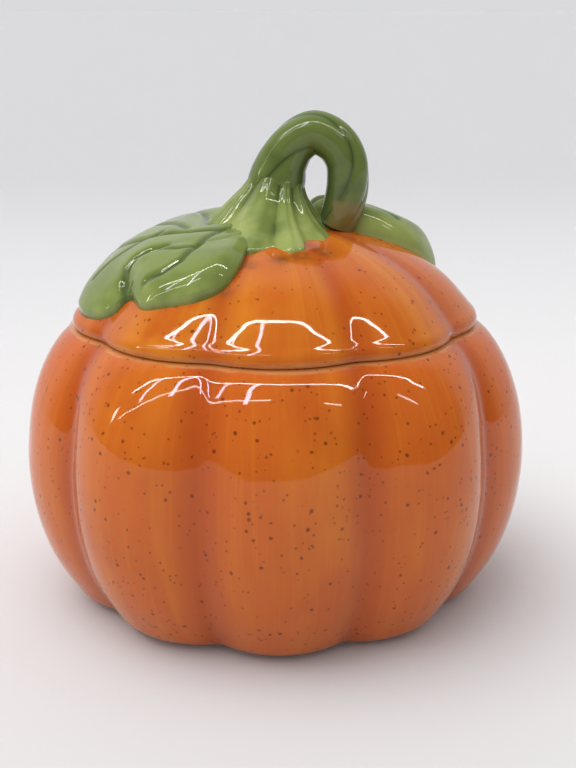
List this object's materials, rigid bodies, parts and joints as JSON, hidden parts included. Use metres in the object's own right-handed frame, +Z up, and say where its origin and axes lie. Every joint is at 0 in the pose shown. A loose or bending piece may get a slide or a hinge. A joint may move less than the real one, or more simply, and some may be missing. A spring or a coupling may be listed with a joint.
{
  "type": "ceramic pumpkin jar",
  "caption": "Lidded glazed ceramic pumpkin: a ribbed orange jar and a ribbed domed lid that carries green leaves, a calyx and a looped stem handle.",
  "frame": {"origin": "on the table at the jar's axis, under the centre of the ribbed outline", "axes": "+Z up; the front of the pumpkin faces -Y, with the larger leaf toward -X and the stem looping toward +X"},
  "size_m": [0.2008, 0.2048, 0.1954],
  "materials": {
    "orange_glaze": "glossy speckled orange glaze, thin and pale along the lip",
    "green_glaze": "glossy leaf-green glaze, olive brown on the stem's tip"
  },
  "bodies": {
    "jar": {"jar_body": "orange_glaze"},
    "lid": {"lid_shell": "orange_glaze", "calyx": "green_glaze", "stem_handle": "green_glaze", "front_leaf": "green_glaze", "rear_leaf": "green_glaze"}
  },
  "joints": [
    {"name": "lid_lift", "type": "slide", "parent": "jar", "child": "lid", "axis": [0, 0, 1], "range_m": [0, 0.1]}
  ]
}
